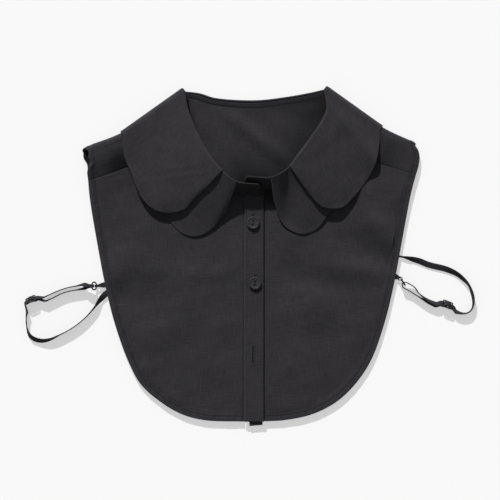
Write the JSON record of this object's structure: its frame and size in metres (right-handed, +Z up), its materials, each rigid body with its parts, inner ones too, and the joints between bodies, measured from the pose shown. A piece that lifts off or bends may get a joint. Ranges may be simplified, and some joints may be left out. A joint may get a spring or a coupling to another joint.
{
  "type": "peter pan collar",
  "caption": "Detachable peter pan collar with double round lobes, button front and side straps, laid flat face up.",
  "frame": {"origin": "middle of the underside of the collar as it lies flat, face up", "axes": "+X to the right as seen from above, which is the wearer's left; +Y towards the back of the neck; +Z up, out of the face"},
  "size_m": [0.4502, 0.3382, 0.0249],
  "materials": {
    "cloth": "matt plain-weave cotton, charcoal grey",
    "elastic": "narrow woven elastic, near black",
    "button": "glossy",
    "slider": "semi-gloss",
    "ring": "enamelled, semi-gloss"
  },
  "bodies": {
    "root": {"back_panel": "cloth", "right_front": "cloth", "left_front": "cloth", "right_placket": "cloth", "left_placket": "cloth", "neck_band": "cloth", "upper_collar": "cloth", "right_petal": "cloth", "left_petal": "cloth", "button_1": "button", "button_2": "button", "right_strap": "elastic", "right_ring_tab": "elastic", "left_strap": "elastic", "left_ring_tab": "elastic", "right_slider": "slider", "left_slider": "slider", "right_ring": "ring", "left_ring": "ring"}
  },
  "joints": []
}
